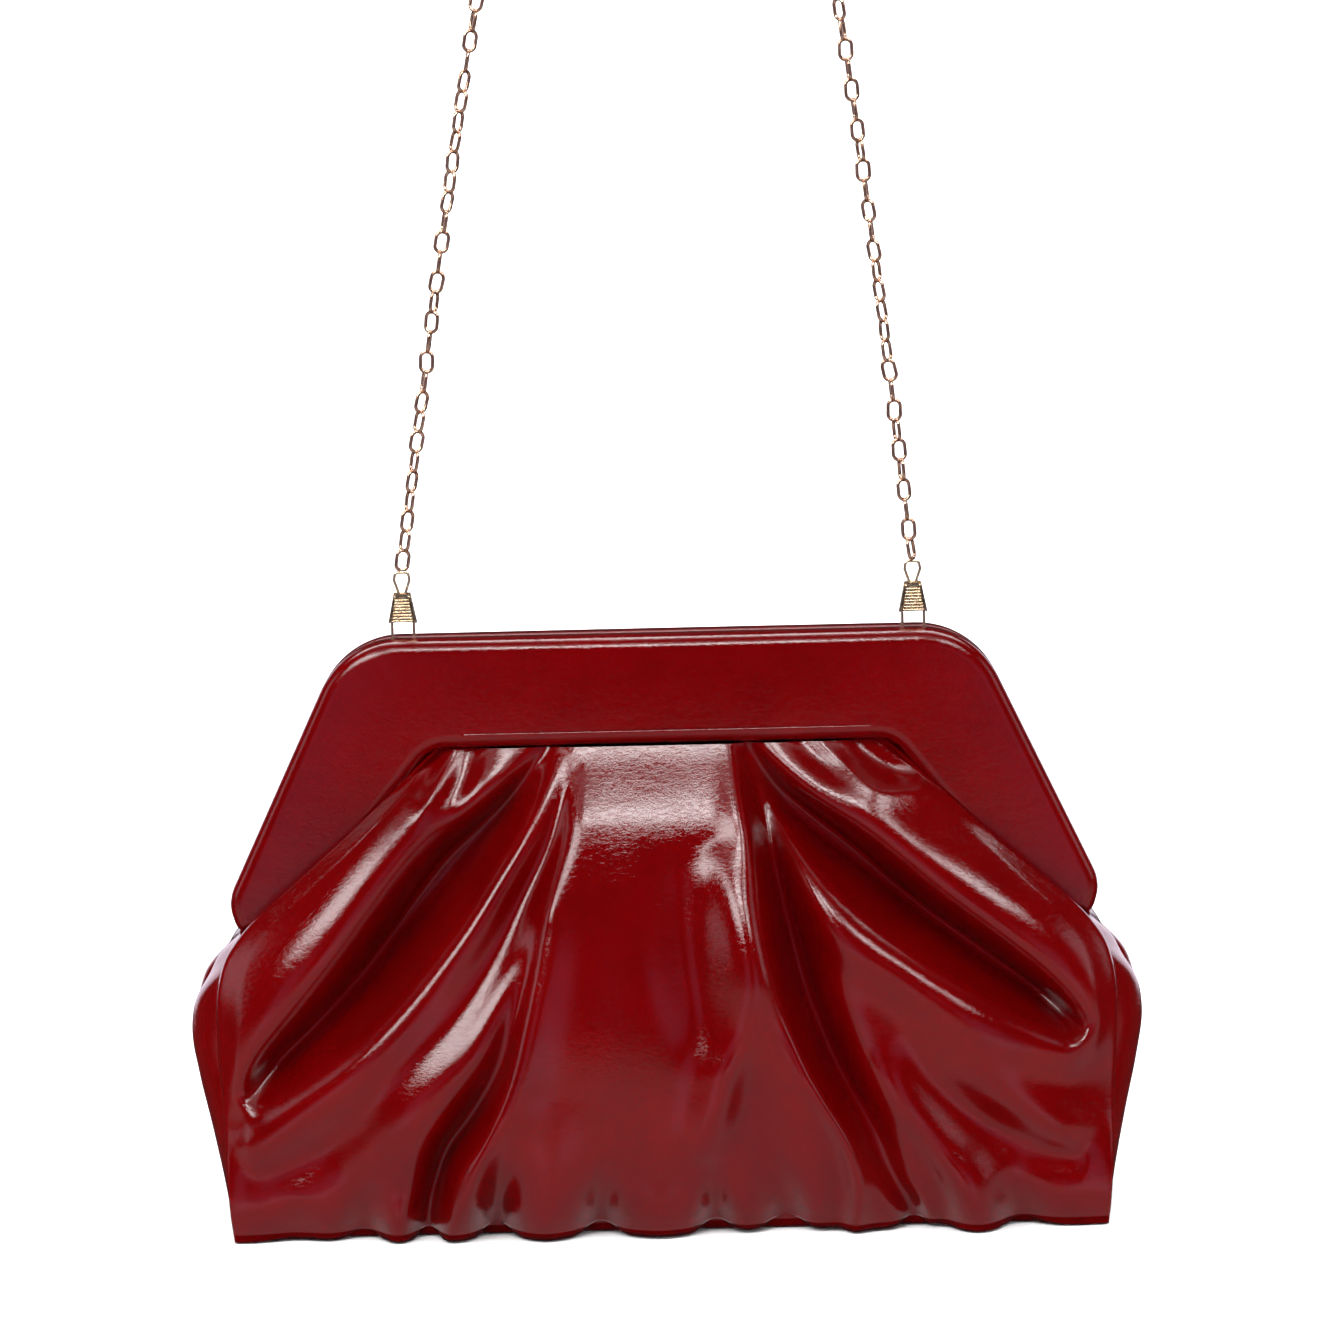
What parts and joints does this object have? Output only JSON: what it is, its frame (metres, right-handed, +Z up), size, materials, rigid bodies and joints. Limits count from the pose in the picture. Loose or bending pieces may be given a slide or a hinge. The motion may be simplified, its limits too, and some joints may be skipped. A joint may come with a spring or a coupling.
{
  "type": "clutch purse",
  "caption": "Gathered clutch purse in glossy patent fabric with a hinged covered frame and a chain strap.",
  "frame": {"origin": "middle of the bag's footprint, on the surface it stands on", "axes": "+X to the right seen from the front, +Y from front to back, +Z up; the front faces -Y"},
  "size_m": [0.278, 0.089, 0.4206],
  "materials": {
    "patent_red": "gloss",
    "facing_red": "satin",
    "lining_cloth": "matte",
    "board": "matte",
    "core_plastic": "matte",
    "pad_foam": "matte",
    "gold_metal": "polished",
    "gold_chain": "polished",
    "hinge_steel": "satin",
    "magnet": "satin"
  },
  "bodies": {
    "root": {"bag_front_panel": "patent_red", "bag_back_panel": "patent_red", "side_gusset_left": "patent_red", "side_gusset_right": "patent_red", "base_panel": "patent_red", "base_board": "board", "lining": "lining_cloth", "lining_pocket": "lining_cloth", "back_frame_cover": "patent_red", "back_frame_foam": "pad_foam", "back_frame_core": "core_plastic", "back_frame_facing": "facing_red", "back_magnets": "magnet", "back_hinge_leaf_left": "hinge_steel", "back_hinge_leaf_right": "hinge_steel", "hinge_pin_left": "hinge_steel", "hinge_pin_right": "hinge_steel", "strap_post_left": "gold_metal", "strap_post_right": "gold_metal", "chain_strap": "gold_chain", "clip_left_wire": "gold_metal", "clip_left_body": "gold_metal", "clip_left_pin": "gold_metal", "clip_left_spring": "gold_metal", "clip_right_wire": "gold_metal", "clip_right_body": "gold_metal", "clip_right_pin": "gold_metal", "clip_right_spring": "gold_metal"},
    "front_frame": {"front_frame_cover": "patent_red", "front_frame_foam": "pad_foam", "front_frame_core": "core_plastic", "front_frame_facing": "facing_red", "front_magnets": "magnet", "front_hinge_leaf_left": "hinge_steel", "front_hinge_leaf_right": "hinge_steel"},
    "lever_left": {"clip_left_lever": "gold_metal"},
    "lever_right": {"clip_right_lever": "gold_metal"}
  },
  "joints": [
    {"name": "frame_open", "type": "hinge", "parent": "root", "child": "front_frame", "pos_m": [0, 0, 0.093], "axis": [1, 0, 0], "range_deg": [0, 55], "deforming": ["bag_front_panel", "lining"]},
    {"name": "clip_left_press", "type": "hinge", "parent": "root", "child": "lever_left", "pos_m": [-0.0755, -0.0016, 0.1869], "axis": [1, 0, 0], "range_deg": [0, 7], "stiffness_Nm_per_rad": 0.0005, "springref_deg": -2.86, "deforming": ["clip_left_spring"]},
    {"name": "clip_right_press", "type": "hinge", "parent": "root", "child": "lever_right", "pos_m": [0.0755, -0.0016, 0.1869], "axis": [1, 0, 0], "range_deg": [0, 7], "stiffness_Nm_per_rad": 0.0005, "springref_deg": -2.86, "deforming": ["clip_right_spring"]}
  ]
}
